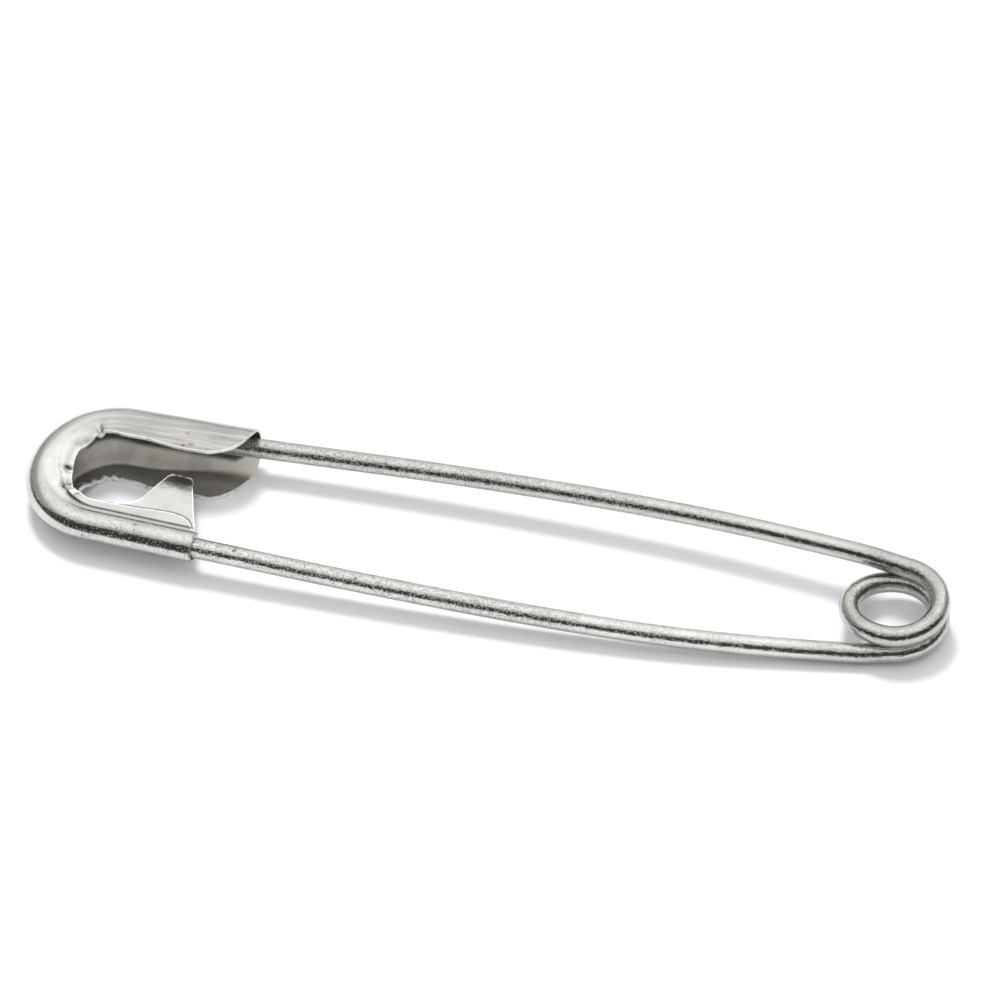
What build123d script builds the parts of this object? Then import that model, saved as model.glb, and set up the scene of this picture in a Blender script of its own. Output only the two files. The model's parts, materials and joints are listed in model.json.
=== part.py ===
from build123d import *
import math
import os

os.makedirs("parts", exist_ok=True)

# A large closed safety pin, lying on its side. All lengths are millimetres.
# X runs along the pin from the capped end to the coil, Y from the fixed arm to the pin arm,
# and Z is up, along the coil's axis. The origin is under the middle of the pin, on the surface.

# Whole pin
overall_length = 100.5
half_width = 9.76

# Spring wire and its coil
wire_d = 2.2
coil_r = 4.7
turn_gap = 0.435
coil_offset = 0.66
coil_lift = 0.106
lead_out = 2.4

# Pin arm: its ground point and how far it stands off the cap's wall
taper_length = 9.0
tip_d = 0.25
wall_gap = 0.2
tip_setback = 7.5
pin_lean = 1.6
pin_leave = 10.0
pin_first_run = 3.6

# Fixed arm: how far short of the sleeve's inner end it stops
grip_setback = 0.1
fixed_leave = 15.0
fixed_first_run = 2.0

# Cap: one folded sheet
sheet_t = 0.3
cap_height = 6.18
cap_length = 23.1
sleeve_reach = 21.3
cap_end_r = 9.5
cap_flare = 3.0
sleeve_clearance = 0.03
seam_gap = 0.05
crease_reach = 3.95
flange_reach = 6.6
leaf_root = 5.0
leaf_drop = 0.04
closing_from = 130.0
closing_steps = 10
overrun = 2.0

# Edges of the leaves, the window and the flanges, measured inwards from the pin-side wall, but
# the flanges' depth from the wall opposite. The window's corner is a share of its width. The
# slant is how far back from the mouth the leaves reach their full width.
leaf_slant = 2.9
upper_leaf_reach = 6.95
lower_leaf_reach = 7.7
leaf_waist = 6.2
leaf_corner = 1.9
window_setback = 5.4
window_corner_share = 0.3
flange_depth = 5.1
flange_end_setback = 1.1
leaf_round = 4.5
window_round = 1.2
flange_round = 1.4

# Guard tongue: its top measured inwards from the pin-side wall, its foot from the wall opposite,
# and the rest back from the sleeve's mouth
tongue_top = 7.65
tongue_left_back = 5.9
tongue_right_back = 3.8
tongue_foot_left_back = 9.4
tongue_foot_right_back = 0.8
tongue_foot_depth = 3.6
tongue_hollow_shares = [(0.38, 0.20), (0.60, 0.38), (0.76, 0.62)]
tongue_round = 2.0

# The bow of each arm after its first straight run: shares of the way along from the coil's centre
# to the cap, and of the way outwards from the coil's turn to the arm's place at the cap.
pin_bow_shares = [(0.32, 1.115), (0.66, 1.27)]
fixed_bow_shares = [(0.27, 0.84), (0.50, 1.03), (0.75, 1.06)]
arc_share = 0.45

# Worked out from the sizes above
wire_r = wire_d / 2
pitch = wire_d + turn_gap
mid_z = cap_height / 2
turn_r = math.hypot(coil_r, pitch / 4)
end_x = -overall_length / 2
coil_x = overall_length / 2 - turn_r - wire_r
sleeve_r = wire_r + sleeve_clearance + sheet_t
nose_r = cap_height / 2
bend_centre = Vector(end_x + cap_end_r, half_width - cap_end_r, mid_z)
coil_centre = Vector(coil_x, coil_offset, mid_z + coil_lift)
mouth_x = end_x + cap_length
sleeve_end_x = end_x + sleeve_reach


def station(turn):
    """The cap's outer line at an angle round the closed end: its point, inwards and onwards."""
    outward = Vector(math.cos(math.radians(turn)), math.sin(math.radians(turn)), 0)
    onward = Vector(-outward.Y, outward.X, 0)
    return bend_centre + outward * cap_end_r, outward * -1, onward


def section_plane(turn):
    """The plane across the sheet at that angle: x runs inwards from the outer wall, y runs up."""
    point, inward, onward = station(turn)
    return Plane(origin=point, x_dir=inward, z_dir=onward)


def unit_towards(start, end):
    """Unit vector between two flat points."""
    return Vector(end[0] - start[0], end[1] - start[1]).normalized()


def sheet_edges(nose, shoulder, edge):
    """Points of the upper half of a folded section, outer face then inner face, from the free edge
    to the outermost point. The fold is a round nose, then a straight slope to the shoulder, then
    a straight run to the free edge."""
    centre = Vector(nose, 0)
    to_shoulder = Vector(*shoulder) - centre
    lift = math.atan2(to_shoulder.Y, to_shoulder.X) + math.acos(min(1.0, nose / to_shoulder.length))
    spoke = Vector(math.cos(lift), math.sin(lift))
    middle = Vector(math.cos((lift + math.pi) / 2), math.sin((lift + math.pi) / 2))
    slope_in = spoke * -1
    run = unit_towards(shoulder, edge)
    run_in = Vector(run.Y, -run.X)
    corner = (slope_in + run_in) * (sheet_t / (1 + slope_in.dot(run_in)))
    outer = [Vector(*edge), Vector(*shoulder), centre + spoke * nose, centre + middle * nose, Vector(0, 0)]
    small = nose - sheet_t
    inner = [
        Vector(*edge) + run_in * sheet_t,
        Vector(*shoulder) + corner,
        centre + spoke * small,
        centre + middle * small,
        Vector(sheet_t, 0),
    ]
    return outer, inner


def fold_section(plane, nose, shoulder, edge):
    """The closed section of the folded sheet on that plane."""
    outer, inner = sheet_edges(nose, shoulder, edge)
    with BuildSketch(plane) as section:
        with BuildLine():
            for points in (outer, inner):
                under = [Vector(p.X, -p.Y) for p in points]
                for side in (points, under):
                    Line(side[0], side[1])
                    Line(side[1], side[2])
                    ThreePointArc(side[2], side[3], side[4])
            Line(outer[0], inner[0])
            Line(Vector(outer[0].X, -outer[0].Y), Vector(inner[0].X, -inner[0].Y))
        make_face()
    return section.sketch


def bend_radii(points):
    """The largest tangent arc that each corner's two runs leave room for."""
    radii = []
    for before, corner, after in zip(points, points[1:], points[2:]):
        turn = math.radians((corner - before).get_angle(after - corner))
        shorter = min((corner - before).length, (after - corner).length)
        radii.append(arc_share * shorter / math.tan(turn / 2))
    return radii


def arm_route(side, start, heading, first_run, shares, entry, lean, inner_length):
    """The corners of an arm's route, from the coil's lead to its end inside the cap. side is 1 for
    the pin arm and -1 for the fixed arm, and entry is its place at the cap's mouth."""
    corners = [start, start + heading * first_run]
    turn_y = coil_centre.Y + side * coil_r
    for along, out in shares:
        corners.append(
            Vector(
                coil_x + (entry.X - coil_x) * along,
                turn_y + (entry.Y - turn_y) * out,
                start.Z + (entry.Z - start.Z) * along,
            )
        )
    inner_way = Vector(-math.cos(math.radians(lean)), -side * math.sin(math.radians(lean)), 0)
    return corners + [entry, entry + inner_way * inner_length]


def round_section(start, onward, diameter):
    """A round section across a route."""
    with BuildSketch(Plane(origin=start, z_dir=onward)) as section:
        Circle(diameter / 2)
    return section.sketch


def cap_point(along, inward):
    """A plan point from the distance along the cap and inwards from its pin-side wall."""
    return (end_x + along, half_width - inward)


# Coil: three half turns, each a flat half circle tilted by a quarter of the pitch. The first and
# last stop short where the arms leave, and a straight lead carries on from each.
turn_ends = [
    coil_centre + Vector(0, coil_r, 0.75 * pitch),
    coil_centre + Vector(0, -coil_r, 0.25 * pitch),
    coil_centre + Vector(0, coil_r, -0.25 * pitch),
    coil_centre + Vector(0, -coil_r, -0.75 * pitch),
]


def on_turn(index, angle):
    """The point and the way on at an angle round a half turn, from 0 to 180 degrees."""
    first, second = turn_ends[index], turn_ends[index + 1]
    middle = (first + second) / 2
    spoke = first - middle
    side_way = Vector(turn_r if index % 2 == 0 else -turn_r, 0, 0)
    cosine, sine = math.cos(math.radians(angle)), math.sin(math.radians(angle))
    return middle + spoke * cosine + side_way * sine, (side_way * cosine - spoke * sine).normalized()


pin_leaves, pin_back = on_turn(0, pin_leave)
fixed_leaves, fixed_way = on_turn(2, 180 - fixed_leave)
pin_way = pin_back * -1
pin_lead_end = pin_leaves + pin_way * lead_out
fixed_lead_end = fixed_leaves + fixed_way * lead_out
with BuildPart() as coil:
    with BuildLine() as coil_route:
        Line(pin_lead_end, pin_leaves)
        for index, (begin, stop) in enumerate([(pin_leave, 180), (0, 180), (0, 180 - fixed_leave)]):
            ThreePointArc(*[on_turn(index, angle)[0] for angle in (begin, (begin + stop) / 2, stop)])
        Line(fixed_leaves, fixed_lead_end)
    sweep(sections=round_section(pin_lead_end, pin_back, wire_d), path=coil_route.line)

# Pin arm: from the coil's upper lead to the point, inside the cap against its wall
pin_entry = Vector(mouth_x, half_width - sheet_t - wall_gap - wire_r, mid_z)
pin_inner = cap_length - tip_setback - taper_length
pin_corners = arm_route(
    1, pin_lead_end, pin_way, pin_first_run, pin_bow_shares, pin_entry, pin_lean, pin_inner
)
taper_way = (pin_corners[-1] - pin_corners[-2]).normalized()
with BuildPart() as pin_arm:
    with BuildLine() as pin_route:
        FilletPolyline(*pin_corners, radius=bend_radii(pin_corners))
    sweep(sections=round_section(pin_lead_end, pin_way, wire_d), path=pin_route.line)
    loft(
        sections=[
            round_section(pin_corners[-1], taper_way, wire_d),
            round_section(pin_corners[-1] + taper_way * taper_length, taper_way, tip_d),
        ]
    )

# Fixed arm: from the coil's lower lead into the cap's sleeve
flare_way = Vector(math.cos(math.radians(cap_flare)), -math.sin(math.radians(cap_flare)), 0)
sleeve_turn = 270 - cap_flare
sleeve_start, sleeve_inward = station(sleeve_turn)[:2]
sleeve_length = (sleeve_end_x - sleeve_start.X) / flare_way.X
sleeve_mouth = sleeve_start + sleeve_inward * sleeve_r + flare_way * sleeve_length
fixed_entry = sleeve_mouth + flare_way * wire_d
fixed_inner = sleeve_length - grip_setback + wire_d
fixed_corners = arm_route(
    -1, fixed_lead_end, fixed_way, fixed_first_run, fixed_bow_shares, fixed_entry, cap_flare, fixed_inner
)
with BuildPart() as fixed_arm:
    with BuildLine() as fixed_route:
        FilletPolyline(*fixed_corners, radius=bend_radii(fixed_corners))
    sweep(sections=round_section(fixed_lead_end, fixed_way, wire_d), path=fixed_route.line)

# Cap: the folded sheet runs from the pin-side mouth, round the closed end, to the sleeve
leaf_shoulder = (leaf_root, nose_r)
leaf_edge = (cap_end_r - sheet_t - seam_gap, nose_r - leaf_drop)
sleeve_shoulder = (crease_reach, sheet_t + seam_gap / 2)
sleeve_edge = (flange_reach, sheet_t + seam_gap / 2)


def closed_section(turn):
    """The section at an angle round the end, closing smoothly from the channel to the sleeve."""
    way = (turn - closing_from) / (sleeve_turn - closing_from)
    share = way * way * (3 - 2 * way)

    def between(a, b):
        return a + (b - a) * share

    return fold_section(
        section_plane(turn),
        between(nose_r, sleeve_r),
        (between(leaf_shoulder[0], sleeve_shoulder[0]), between(leaf_shoulder[1], sleeve_shoulder[1])),
        (between(leaf_edge[0], sleeve_edge[0]), between(leaf_edge[1], sleeve_edge[1])),
    )


def plan_outline(height, corners):
    """A flat outline at a height, from corners of (along the cap, inwards from its wall, rounding)."""
    with BuildSketch(Plane.XY.offset(height)) as outline:
        with BuildLine():
            FilletPolyline(
                *[(end_x + along, half_width - inward) for along, inward, rounding in corners],
                radius=[rounding for along, inward, rounding in corners],
                close=True,
            )
        make_face()
    return outline.sketch


past_mouth = cap_length + overrun
leaf_front = cap_length - leaf_slant
flange_line = 2 * cap_end_r - flange_depth
tongue_foot = 2 * cap_end_r - tongue_foot_depth
window_corner = lower_leaf_reach + window_corner_share * (flange_line - lower_leaf_reach)
flange_front = sleeve_reach - flange_end_setback
tongue_left = sleeve_reach - tongue_left_back
tongue_right = sleeve_reach - tongue_right_back
tongue_foot_left = sleeve_reach - tongue_foot_left_back
tongue_foot_right = sleeve_reach - tongue_foot_right_back
window_side = window_setback + flange_end_setback
flange_end = flange_line + 2 * flange_end_setback
tongue_slope = (tongue_foot_right - tongue_right) / (tongue_foot - tongue_top)
lower_flange_end = tongue_right + tongue_slope * (flange_line - tongue_top)
upper_cut = [
    (past_mouth, leaf_corner, 0),
    (cap_length, leaf_corner, 0),
    (leaf_front, upper_leaf_reach, leaf_round),
    (cap_length - tip_setback, upper_leaf_reach, leaf_round),
    (cap_end_r, leaf_waist, leaf_round),
    (window_side, leaf_waist, window_round),
    (window_setback, window_corner, window_round),
    (window_side, flange_line, window_round),
    (flange_front - flange_end_setback, flange_line, flange_round),
    (flange_front, flange_end, 0),
    (past_mouth, flange_end, 0),
]
lower_cut = [
    (past_mouth, leaf_corner, 0),
    (cap_length, leaf_corner, 0),
    (leaf_front, lower_leaf_reach, leaf_round),
    (window_side, lower_leaf_reach, window_round),
    (window_setback, window_corner, window_round),
    (window_side, flange_line, window_round),
    (lower_flange_end, flange_line, 0),
    (tongue_foot_right, tongue_foot, 0),
    (past_mouth, tongue_foot, 0),
]
tongue_width = tongue_left - tongue_foot_left
tongue_rise = flange_line - tongue_top
tongue = [
    (tongue_foot_left, tongue_foot, 0),
    (tongue_foot_left, flange_line, 0),
    *[
        (tongue_foot_left + along * tongue_width, flange_line - out * tongue_rise, tongue_round)
        for along, out in tongue_hollow_shares
    ],
    (tongue_left, tongue_top, sheet_t),
    (tongue_right, tongue_top, sheet_t),
    (tongue_foot_right, tongue_foot, 0),
]

with BuildPart() as cap:
    extrude(fold_section(section_plane(90), nose_r, leaf_shoulder, leaf_edge), -(cap_length - cap_end_r))
    revolve(
        fold_section(section_plane(90), nose_r, leaf_shoulder, leaf_edge),
        axis=Axis(bend_centre, Vector(0, 0, 1)),
        revolution_arc=closing_from - 90,
    )
    loft(
        sections=[
            closed_section(closing_from + (sleeve_turn - closing_from) * step / closing_steps)
            for step in range(closing_steps + 1)
        ]
    )
    extrude(fold_section(section_plane(sleeve_turn), sleeve_r, sleeve_shoulder, sleeve_edge), sleeve_length)
    extrude(plan_outline(mid_z, upper_cut), cap_height, mode=Mode.SUBTRACT)
    extrude(plan_outline(mid_z, lower_cut), -cap_height, mode=Mode.SUBTRACT)
    extrude(plan_outline(mid_z - seam_gap / 2 - sheet_t, tongue), sheet_t)

# The least gap of the coil to itself, measured along its centreline most of a turn apart
coil_wire = coil_route.wire()
steps = 600
samples = [coil_wire @ (step / steps) for step in range(steps + 1)]
apart = round(steps * 1.5 * math.pi * coil_r / coil_wire.length)
least = min(
    (samples[i] - samples[j]).length for i in range(len(samples)) for j in range(i + apart, len(samples))
)
print(f"coil: least gap to itself {least - wire_d:.3f} mm, volume {coil.part.volume:.2f} mm3,",
      f"section times length {math.pi * wire_r**2 * coil_wire.length:.2f} mm3")
for name, corners in (("pin arm", pin_corners), ("fixed arm", fixed_corners)):
    print(name, "bend radii", [round(radius, 1) for radius in bend_radii(corners)])

for label, piece in (("coil", coil), ("pin_arm", pin_arm), ("fixed_arm", fixed_arm), ("cap", cap)):
    piece.part.label = label
    export_step(piece.part, f"parts/{label}.step")
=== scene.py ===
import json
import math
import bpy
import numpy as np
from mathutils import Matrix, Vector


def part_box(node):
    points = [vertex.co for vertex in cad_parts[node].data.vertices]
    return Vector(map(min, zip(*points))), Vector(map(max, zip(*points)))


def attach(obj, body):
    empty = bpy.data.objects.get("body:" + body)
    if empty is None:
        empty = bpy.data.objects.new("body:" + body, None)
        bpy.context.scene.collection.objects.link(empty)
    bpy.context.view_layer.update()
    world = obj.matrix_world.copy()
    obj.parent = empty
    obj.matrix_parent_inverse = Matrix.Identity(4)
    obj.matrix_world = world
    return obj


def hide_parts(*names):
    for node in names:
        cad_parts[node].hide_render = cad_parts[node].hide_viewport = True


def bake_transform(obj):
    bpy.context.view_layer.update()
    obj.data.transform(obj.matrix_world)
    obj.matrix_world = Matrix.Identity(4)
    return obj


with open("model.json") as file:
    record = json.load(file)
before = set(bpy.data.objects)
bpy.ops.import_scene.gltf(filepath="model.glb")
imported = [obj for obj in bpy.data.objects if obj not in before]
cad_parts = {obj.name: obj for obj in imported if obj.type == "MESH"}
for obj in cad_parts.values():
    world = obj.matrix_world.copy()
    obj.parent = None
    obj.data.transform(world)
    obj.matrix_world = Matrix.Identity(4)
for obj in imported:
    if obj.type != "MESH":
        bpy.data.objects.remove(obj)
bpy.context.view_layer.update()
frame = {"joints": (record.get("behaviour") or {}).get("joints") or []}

# %% [markdown]
# # A large safety pin
# On a bench the real pin comes apart into two pieces: one length of plated spring wire, and one
# cap folded from plated sheet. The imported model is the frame. It says where everything is and
# what moves, so this script only makes what is seen: four surfaces, their metal finishes, a pale
# floor, the room and two soft lamps.
#
# Lengths are written in millimetres and turned into metres where a mesh is filled. X runs along
# the pin with the coil on the right, Y runs across it, and Z is up from the floor.

mm = 0.001
hinge = np.array(frame["joints"][0]["pos_m"]) / mm
cap_low, cap_high = (np.array(corner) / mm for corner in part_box("cap"))
print("hinge at", hinge.round(3), "mm; cap from", cap_low.round(2), "to", cap_high.round(2))

# %% [markdown]
# ## The spring wire
# The real pin is drawn round wire, 2.2 mm thick: a straight back, one and a half turns, and a
# sprung arm that is ground to a point. It could be a curve object with a round bevel. A tube that
# is worked out along its path is used instead, because it keeps a UV map in millimetres, so that
# draw marks can run along the wire. First come the sizes, and then the centrelines.

# %% Sizes of the wire
# coil_r runs to the middle of the wire, and pitch from one turn to the next. The coil's lowest
# turn clears the floor by floor_gap. Past each leave angle its wire runs straight for the lead.
wire_r = 1.1
coil_r = 4.7
pitch = 2.23
half_drop = 0.75 * pitch
floor_gap = 0.08
coil_centre = np.array([hinge[0], hinge[1], half_drop + wire_r + floor_gap])
pin_leave, fixed_leave = math.radians(10), math.radians(15)
lead = 2.4
print("the turns of the coil lie", round(pitch / (2 * wire_r), 3), "wire diameters apart")

# %% [markdown]
# ## The coil's centreline
# The coil is a spring of one and a half turns, and its turns all but touch. A helix of even drop
# would leave both arms sloping. The real arms leave level, so each half turn drops as a cosine
# does: slowly at first, quickly in the middle, and slowly at last.


# %% The coil's centreline
def coil_line(turn):
    """A circle seen from above: the sine and cosine of the turn times the radius. It drops half
    a pitch in each half turn, as one less the cosine does."""
    half = np.floor(turn / math.pi)
    drop = pitch / 2 * (half + (1 - np.cos(turn - half * math.pi)) / 2)
    height = half_drop - drop
    return coil_centre + np.stack([coil_r * np.sin(turn), coil_r * np.cos(turn), height], -1)


def way_at(turn, small=1e-3):
    """Unit vector along the coil's centreline: the difference of two points a small turn either
    side, divided by its length."""
    step = coil_line(np.array([turn + small])) - coil_line(np.array([turn - small]))
    return (step / np.linalg.norm(step))[0]


last_turn = 3 * math.pi - fixed_leave
coil_samples = 400
round_part = coil_line(np.linspace(pin_leave, last_turn, coil_samples))
pin_way, fixed_way = -way_at(pin_leave), way_at(last_turn)
pin_start = round_part[0] + pin_way * lead
fixed_start = round_part[-1] + fixed_way * lead
print("the coil drops", round(round_part[0, 2] - round_part[-1, 2], 2), "mm")

# %% [markdown]
# ## The two arms
# Each arm leaves the coil straight, bows outwards in one long curve, and enters the cap straight.
# Blender's own curves would bend through or past their handles. Here a route is a few corners,
# each cut by a parabola, so the wire never swings wider than its corners. Then the points are
# spaced evenly, which keeps the rings of the tube regular and makes the UV map true.


# %% Rounded and even paths
def rounded(corners, samples=60):
    """A path that cuts each corner with a parabola: (1-t) squared times the middle of the run
    before, plus 2t(1-t) times the corner, plus t squared times the middle of the run after."""
    corners = np.array(corners, float)
    middles = (corners[:-1] + corners[1:]) / 2
    t = np.linspace(0, 1, samples, endpoint=False)[:, None, None]
    a, b, c = middles[:-1], corners[1:-1], middles[1:]
    bends = (1 - t) ** 2 * a + 2 * t * (1 - t) * b + t**2 * c
    bends = bends.transpose(1, 0, 2).reshape(-1, 3)
    return np.vstack([corners[:1], bends, middles[-1:], corners[-1:]])


def evenly(path, spacing):
    """The same path with points an even distance apart, and the distance run at each point."""
    run = np.concatenate([[0], np.cumsum(np.linalg.norm(np.diff(path, axis=0), axis=1))])
    keep = np.concatenate([[True], np.diff(run) > 1e-9])
    run, path = run[keep], path[keep]
    where = np.linspace(0, run[-1], max(2, round(run[-1] / spacing) + 1))
    return np.stack([np.interp(where, run, path[:, axis]) for axis in range(3)], axis=1), where


# %% The three routes
# The cap lies on the floor, so its middle is as high as half of it. Each arm runs straight for
# its first run, follows its bows, enters the cap at its in place, and ends its inner run later.
half_height = 3.09
cap_mid = half_height
mouth_x = cap_high[0]
flare = math.radians(3)
pin_lean = math.radians(1.6)
pin_first, fixed_first = 3.6, 2.0
pin_in, fixed_in, overhang = 8.16, -8.56, 0.47
pin_inner, fixed_inner = 15.6, 14.47
pin_bows = [(0.32, 8.46), (0.66, 8.90)]
fixed_bows = [(0.27, -7.86), (0.50, -8.73), (0.75, -8.86)]
coil_step, arm_step = 0.16, 0.3


def arm(start, way, first_run, bows, entry, lean, inner):
    """An arm from the coil to the inside of the cap. Each bow is (share of the way along,
    sideways place), and its height follows a straight line. Past the entry the wire runs
    straight on, turned by the lean, for the inner length."""
    corners = [start, start + way * first_run]
    corners += [
        [start[0] + (entry[0] - start[0]) * share, y, start[2] + (entry[2] - start[2]) * share]
        for share, y in bows
    ]
    end = entry + inner * np.array([-math.cos(lean), -math.sin(lean), 0])
    return evenly(rounded(corners + [entry, end]), arm_step)


coil_path = evenly(np.vstack([pin_start, round_part, fixed_start]), coil_step)
pin_entry = np.array([mouth_x, pin_in, cap_mid])
fixed_entry = np.array([mouth_x + overhang, fixed_in, cap_mid])
pin_path = arm(pin_start, pin_way, pin_first, pin_bows, pin_entry, pin_lean, pin_inner)
fixed_path = arm(
    fixed_start, fixed_way, fixed_first, fixed_bows, fixed_entry, -flare, fixed_inner
)
wire_run = pin_path[1][-1] + coil_path[1][-1] + fixed_path[1][-1]
print("wire length", round(wire_run, 1), "mm")

# %% [markdown]
# ## From a grid to a mesh
# Every piece of this pin is a grid of points: along and round a wire, or along and across the
# sheet. Points could be joined one face at a time with bmesh. A regular grid needs no such loop,
# because the numbers of a face's corners follow from its row and column, for all faces at once.


# %% Faces of a grid
def grid_faces(rows, columns, closed):
    """A face joins a point, the next one across, and the two after them along. Point number is
    row times columns plus column. Round a closed grid the last column joins the first."""
    last = columns if closed else columns - 1
    u, v = np.meshgrid(np.arange(rows - 1), np.arange(last), indexing="ij")
    here, beside = u * columns + v, u * columns + (v + 1) % columns
    return np.stack([here, beside, beside + columns, here + columns], -1).reshape(-1, 4)


def tube_ends(rows, columns):
    """The first and the last ring of a tube, each as one face that looks outwards."""
    return [list(range(columns - 1, -1, -1)), list(range((rows - 1) * columns, rows * columns))]


# %% A UV map in millimetres
def add_uv(mesh, quads, along, across, closed):
    """Each corner of a face takes its point's distances along and across. Where a tube's last
    column meets its first, the distance across runs on past the seam: one whole turn is added."""
    columns = across.shape[1]
    corner = np.zeros(len(mesh.loops), int)
    mesh.loops.foreach_get("vertex_index", corner)
    row, column = corner // columns, corner % columns
    u, v = along[row], across[row, column]
    if closed:
        wall = 4 * len(quads)
        at_seam = np.repeat(np.abs(quads[:, 1] - quads[:, 0]) > 1, 4)
        v[:wall] += np.where(at_seam & (column[:wall] == 0), across[0, 1] * columns, 0)
    layer = mesh.uv_layers.new(name="millimetres")
    layer.data.foreach_set("uv", np.stack([u, v], -1).ravel())


def sharpen_ends(mesh, rows, columns):
    """The edges of the first and last ring are sharp, so the flat ends stay flat in the light."""
    edge = np.zeros(len(mesh.edges) * 2, int)
    mesh.edges.foreach_get("vertices", edge)
    edge = edge.reshape(-1, 2)
    rim = (edge < columns).all(1) | (edge >= (rows - 1) * columns).all(1)
    mesh.attributes.new("sharp_edge", "BOOLEAN", "EDGE").data.foreach_set("value", rim)


# %% A piece from a grid
def surface(name, points, along, across, closed=False, **marks):
    """A smooth mesh from a grid of points in millimetres. A closed grid is a tube and gets flat
    ends. Marks are numbers from 0 to 1 for every point, which a finish reads by name."""
    rows, columns = points.shape[:2]
    quads = grid_faces(rows, columns, closed)
    ends = tube_ends(rows, columns) if closed else []
    mesh = bpy.data.meshes.new(name)
    mesh.from_pydata((points.reshape(-1, 3) * mm).tolist(), [], quads.tolist() + ends)
    mesh.polygons.foreach_set("use_smooth", [True] * len(quads) + [False] * len(ends))
    if closed:
        sharpen_ends(mesh, rows, columns)
    add_uv(mesh, quads, along, across, closed)
    for mark, amount in marks.items():
        layer = mesh.attributes.new(mark, "FLOAT", "POINT")
        layer.data.foreach_set("value", np.float32(amount).ravel())
    mesh.validate()
    piece = bpy.data.objects.new(name, mesh)
    bpy.context.scene.collection.objects.link(piece)
    print(name, len(mesh.vertices), "points", len(mesh.polygons), "faces")
    return piece


# %% [markdown]
# ## The tubes
# The wire is one piece, and it bends at the coil. Here it is three tubes that share their end
# rings, so the sprung arm can ride on its own body. A ring stands square to the path: one vector
# sideways, one upwards, and the cosine and sine of the angle round. The point is ground over the
# last 9 mm, so its rings shrink, and a blunt tip is left, as on a real pin.


# %% A round tube
def tube(name, path, radius=wire_r, around=56):
    """Each ring is the path's point plus the radius times cos(angle) times the sideways vector
    plus sin(angle) times the upward one, both square to the path."""
    line, run = path
    way = np.gradient(line, axis=0)
    way /= np.linalg.norm(way, axis=1, keepdims=True)
    side = np.cross([0, 0, 1], way)
    side /= np.linalg.norm(side, axis=1, keepdims=True)
    up = np.cross(way, side)
    angle = np.linspace(0, 2 * math.pi, around, endpoint=False)[None, :, None]
    ring = np.cos(angle) * side[:, None] + np.sin(angle) * up[:, None]
    points = line[:, None] + np.broadcast_to(radius, run.shape)[:, None, None] * ring
    across = np.broadcast_to(angle[:, :, 0] * wire_r, points.shape[:2])
    return surface(name, points, run, across, closed=True)


# %% The three tubes
# The radius at the point is the wire's, times the share of the ground length still to go, to
# the power 0.8, which is a little fuller than a cone.
ground_run, fullness, blunt_r = 9.0, 0.8, 0.1
to_tip = pin_path[1][-1] - pin_path[1]
pin_radius = np.maximum(wire_r * np.clip(to_tip / ground_run, 0, 1) ** fullness, blunt_r)
pin_arm = tube("pin_arm_wire", pin_path, pin_radius)
coil = tube("coil_wire", coil_path)
fixed_arm = tube("fixed_arm_wire", fixed_path)

# %% [markdown]
# ## The cap
# The cap is one stamping: a channel over the point, turned round the closed end, and pinched to a
# tight sleeve on the back wire. It could be cut from boxes and cylinders, but those never flow
# into each other as pressed sheet does. So it is one profile, carried along the cap's outer line.
# The profile changes from an open channel to the sleeve on the way. Each free edge stops at its
# own distance from the outer wall, so leaves, window, flanges and tongue come from one grid.

# %% The cap's outer line
end_r = 9.5
cap_length = 23.1
sleeve_run = 12.31
bend_start = cap_length - end_r
bend_turn = math.pi - flare
bend_end = bend_start + end_r * bend_turn
bend_middle = np.array([cap_low[0] + end_r, cap_high[1] - end_r])


def cap_line(s):
    """The outer line seen from above, at a distance s from the pin-side mouth: a straight wall,
    a round end of one radius, and a straight sleeve. Returns places, inward and onward ways."""
    turn = math.pi / 2 + np.clip((s - bend_start) / end_r, 0, bend_turn)
    inward = -np.stack([np.cos(turn), np.sin(turn)], -1)
    onward = np.stack([-np.sin(turn), np.cos(turn)], -1)
    straight = np.minimum(s - bend_start, 0) + np.maximum(s - bend_end, 0)
    return bend_middle - inward * end_r + onward * straight[:, None], inward, onward


print("the sheet is", round(bend_end + sleeve_run, 1), "mm long on its outer line")

# %% [markdown]
# ## The profile of the sheet
# Cut across, the pin's side of the cap is a half-round nose with two flat leaves. The sleeve's
# side is a tight round on the wire, a slope, a crease, and a flange. Drawn as two curve objects,
# they could not be mixed. As two functions of the distance round the sheet they can, point by
# point. Only the upper half is written, because the lower half is its mirror image.

# %% Channel and sleeve
leaf_fall = 0.01
sleeve_r = 1.43
sleeve_wrap = math.radians(117)
slope_run = 2.09
crease_walk = sleeve_r * sleeve_wrap + slope_run


def channel(a):
    """A quarter circle from the outermost line up to the leaf, and then the leaf, flat but for a
    slight fall. a is the distance walked round it. Returns depth inwards and height."""
    angle = np.clip(a / half_height, 0, math.pi / 2)
    flat = np.maximum(a - half_height * math.pi / 2, 0)
    inward = half_height * (1 - np.cos(angle)) + flat
    return np.stack([inward, half_height * np.sin(angle) - leaf_fall * flat], -1)


def sleeve(a):
    """Round the wire for 117 degrees, straight down a slope to the crease, and then flat."""
    angle = np.clip(a / sleeve_r, 0, sleeve_wrap)
    past = np.maximum(a - sleeve_r * sleeve_wrap, 0)
    slope = np.minimum(past, slope_run)
    flat = np.maximum(past - slope_run, 0)
    inward = sleeve_r * (1 - np.cos(angle)) + slope * math.sin(sleeve_wrap) + flat
    height = sleeve_r * np.sin(angle) + slope * math.cos(sleeve_wrap)
    return np.stack([inward, height], -1)


print("crease", round(crease_walk, 2), "mm round the sleeve's profile")

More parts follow.
